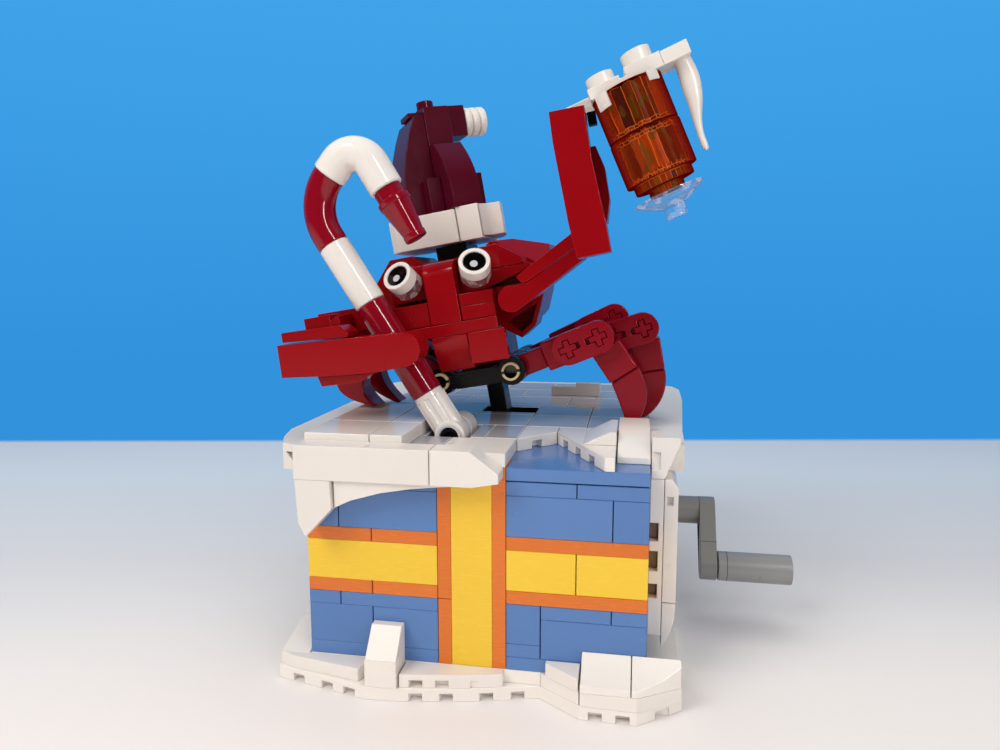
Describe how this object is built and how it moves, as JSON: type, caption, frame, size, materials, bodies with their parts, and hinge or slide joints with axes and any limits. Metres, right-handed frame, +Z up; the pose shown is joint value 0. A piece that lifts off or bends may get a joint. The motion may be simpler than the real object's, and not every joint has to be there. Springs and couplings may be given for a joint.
{
  "type": "hand-cranked automaton toy",
  "caption": "Hand-cranked building-brick automaton: a crab in a winter hat with a candy cane and a mug sways on a stem through the snowy lid of a ribboned gift box.",
  "frame": {"origin": "middle of the flat underside of the ground layer", "axes": "+X to the right and towards the crank seen from the front, +Y from the front to the back, +Z up"},
  "size_m": [0.1314, 0.1225, 0.1468],
  "materials": {
    "arm_left": "moulded, glossy dark red",
    "arm_right": "moulded, glossy dark red",
    "base_drifts": "moulded, satin snow white",
    "base_snow": "moulded, satin snow white",
    "box_floor": "moulded, snow white",
    "cam_disc": "moulded, dark grey",
    "cane_foot": "moulded, satin snow white",
    "cane_foot_pin": "moulded, black",
    "cane_red": "moulded, glossy dark red",
    "cane_white": "moulded, satin snow white",
    "claw_left": "moulded, glossy dark red",
    "claw_left_pin": "moulded, black",
    "claw_right": "moulded, glossy dark red",
    "crab_belly": "moulded, glossy dark red",
    "crab_face": "moulded, glossy dark red",
    "crab_frame": "moulded, black",
    "crab_shell": "moulded, glossy dark red",
    "crank_arm": "moulded, mid grey",
    "crank_axle": "moulded, black",
    "crank_gear": "moulded, tan",
    "crank_grip": "moulded, light grey",
    "crank_pin": "moulded, dark grey",
    "cross_axle": "moulded, dark grey",
    "cross_gear": "moulded, tan",
    "deck_plate": "moulded, semi gloss mid blue",
    "deck_tiles": "moulded, satin snow white",
    "eye_pupils": "moulded, black",
    "eye_rings": "moulded, satin snow white",
    "eye_sockets": "clear colourless plastic",
    "frame": "moulded, dark grey",
    "hat_bobble": "moulded, satin snow white",
    "hat_brim": "moulded, satin snow white",
    "hat_cone": "moulded, glossy maroon",
    "hat_neck": "moulded, black",
    "hip_pins": "moulded, tan",
    "leg_left_front": "moulded, glossy dark red",
    "leg_left_middle": "moulded, glossy dark red",
    "leg_left_rear": "moulded, glossy dark red",
    "leg_right_front": "moulded, glossy dark red",
    "leg_right_middle": "moulded, glossy dark red",
    "leg_right_rear": "moulded, glossy dark red",
    "mug_dish": "clear colourless plastic",
    "mug_foam": "moulded, satin snow white",
    "mug_glass": "clear amber plastic",
    "ribbon_band": "moulded, semi gloss yellow",
    "ribbon_rails": "moulded, semi gloss orange",
    "side_core": "moulded, dark brown",
    "snow_icicles": "moulded, satin snow white",
    "snow_lip": "moulded, satin snow white",
    "snow_rim": "moulded, satin snow white",
    "snow_side_left": "moulded, satin snow white",
    "snow_side_right": "moulded, satin snow white",
    "snow_top": "moulded, satin snow white",
    "sway_pin": "moulded, black",
    "sway_stem": "moulded, black",
    "wall_back": "moulded, semi gloss mid blue",
    "wall_front": "moulded, semi gloss mid blue",
    "wall_left": "moulded, semi gloss mid blue",
    "wall_right": "moulded, semi gloss mid blue"
  },
  "bodies": {
    "base": {"base_snow": "base_snow", "box_floor": "box_floor", "base_drifts": "base_drifts", "wall_front": "wall_front", "wall_back": "wall_back", "wall_left": "wall_left", "wall_right": "wall_right", "ribbon_rails": "ribbon_rails", "ribbon_band": "ribbon_band", "deck_plate": "deck_plate", "deck_tiles": "deck_tiles", "snow_rim": "snow_rim", "snow_lip": "snow_lip", "snow_icicles": "snow_icicles", "snow_top": "snow_top", "snow_side_right": "snow_side_right", "snow_side_left": "snow_side_left", "side_core": "side_core", "frame": "frame", "sway_pin": "sway_pin", "cane_foot": "cane_foot", "cane_foot_pin": "cane_foot_pin"},
    "crank": {"crank_axle": "crank_axle", "crank_gear": "crank_gear", "crank_arm": "crank_arm", "crank_pin": "crank_pin"},
    "grip": {"crank_grip": "crank_grip"},
    "cross_shaft": {"cross_axle": "cross_axle", "cross_gear": "cross_gear", "cam_disc": "cam_disc"},
    "crab": {"sway_stem": "sway_stem", "crab_frame": "crab_frame", "hip_pins": "hip_pins", "crab_belly": "crab_belly", "crab_face": "crab_face", "crab_shell": "crab_shell", "eye_sockets": "eye_sockets", "eye_rings": "eye_rings", "eye_pupils": "eye_pupils", "hat_neck": "hat_neck"},
    "hat": {"hat_brim": "hat_brim", "hat_cone": "hat_cone", "hat_bobble": "hat_bobble"},
    "raised_arm": {"arm_left": "arm_left", "claw_left": "claw_left", "claw_left_pin": "claw_left_pin"},
    "mug": {"mug_glass": "mug_glass", "mug_foam": "mug_foam", "mug_dish": "mug_dish"},
    "lowered_arm": {"arm_right": "arm_right", "claw_right": "claw_right"},
    "cane": {"cane_red": "cane_red", "cane_white": "cane_white"},
    "left_front_leg": {"leg_left_front": "leg_left_front"},
    "left_middle_leg": {"leg_left_middle": "leg_left_middle"},
    "left_rear_leg": {"leg_left_rear": "leg_left_rear"},
    "right_front_leg": {"leg_right_front": "leg_right_front"},
    "right_middle_leg": {"leg_right_middle": "leg_right_middle"},
    "right_rear_leg": {"leg_right_rear": "leg_right_rear"}
  },
  "joints": [
    {"name": "crank_turn", "type": "hinge", "parent": "base", "child": "crank", "pos_m": [0.045, 0, 0.0296], "axis": [1, 0, 0], "continuous": true},
    {"name": "grip_spin", "type": "hinge", "parent": "crank", "child": "grip", "pos_m": [0.0695, -0.00985, 0.01699], "axis": [1, 0, 0], "continuous": true},
    {"name": "cross_turn", "type": "hinge", "parent": "base", "child": "cross_shaft", "pos_m": [0, 0, 0.0296], "axis": [0, 1, 0], "continuous": true},
    {"name": "crab_sway", "type": "hinge", "parent": "base", "child": "crab", "pos_m": [0, 0, 0.042], "axis": [0, 1, 0], "range_deg": [0, 20]},
    {"name": "hat_turn", "type": "hinge", "parent": "crab", "child": "hat", "pos_m": [-0.01531, -0.002, 0.10581], "axis": [-0.1736, 0, 0.9848], "range_deg": [-15, 15]},
    {"name": "raised_shoulder", "type": "hinge", "parent": "crab", "child": "raised_arm", "pos_m": [0.00552, -0.03, 0.09131], "axis": [0, 1, 0], "range_deg": [-12, 8]},
    {"name": "mug_tip", "type": "hinge", "parent": "raised_arm", "child": "mug", "pos_m": [0.02148, -0.049, 0.13098], "axis": [0, 1, 0], "range_deg": [-25, 12]},
    {"name": "lowered_shoulder", "type": "hinge", "parent": "crab", "child": "lowered_arm", "pos_m": [-0.02865, -0.03, 0.08701], "axis": [0, 1, 0], "range_deg": [-3, 5]},
    {"name": "cane_swing", "type": "hinge", "parent": "base", "child": "cane", "pos_m": [-0.009, -0.03565, 0.0574], "axis": [0, 1, 0], "range_deg": [0, 26]},
    {"name": "right_front_leg_hip", "type": "hinge", "parent": "crab", "child": "right_front_leg", "pos_m": [0.00438, -0.02, 0.07242], "axis": [0, 1, 0], "range_deg": [-26, 0]},
    {"name": "right_middle_leg_hip", "type": "hinge", "parent": "crab", "child": "right_middle_leg", "pos_m": [0.00438, -0.0077, 0.07242], "axis": [0, 1, 0], "range_deg": [-25.2, 0]},
    {"name": "right_rear_leg_hip", "type": "hinge", "parent": "crab", "child": "right_rear_leg", "pos_m": [0.00438, 0.0047, 0.07242], "axis": [0, 1, 0], "range_deg": [-26, 0]},
    {"name": "left_front_leg_hip", "type": "hinge", "parent": "crab", "child": "left_front_leg", "pos_m": [-0.01452, -0.02, 0.06909], "axis": [0, 1, 0], "range_deg": [-28.8, 0]},
    {"name": "left_middle_leg_hip", "type": "hinge", "parent": "crab", "child": "left_middle_leg", "pos_m": [-0.01452, -0.0077, 0.06909], "axis": [0, 1, 0], "range_deg": [-28, 0]},
    {"name": "left_rear_leg_hip", "type": "hinge", "parent": "crab", "child": "left_rear_leg", "pos_m": [-0.01452, 0.0047, 0.06909], "axis": [0, 1, 0], "range_deg": [-28.8, 0]}
  ],
  "couplings": [
    {"joint": "cross_turn", "follows": "crank_turn", "ratio": -1},
    {"joint": "cane_swing", "follows": "crab_sway", "ratio": 1.3},
    {"joint": "right_front_leg_hip", "follows": "crab_sway", "ratio": -1.3},
    {"joint": "right_middle_leg_hip", "follows": "crab_sway", "ratio": -1.26},
    {"joint": "right_rear_leg_hip", "follows": "crab_sway", "ratio": -1.3},
    {"joint": "left_front_leg_hip", "follows": "crab_sway", "ratio": -1.44},
    {"joint": "left_middle_leg_hip", "follows": "crab_sway", "ratio": -1.4},
    {"joint": "left_rear_leg_hip", "follows": "crab_sway", "ratio": -1.44}
  ]
}
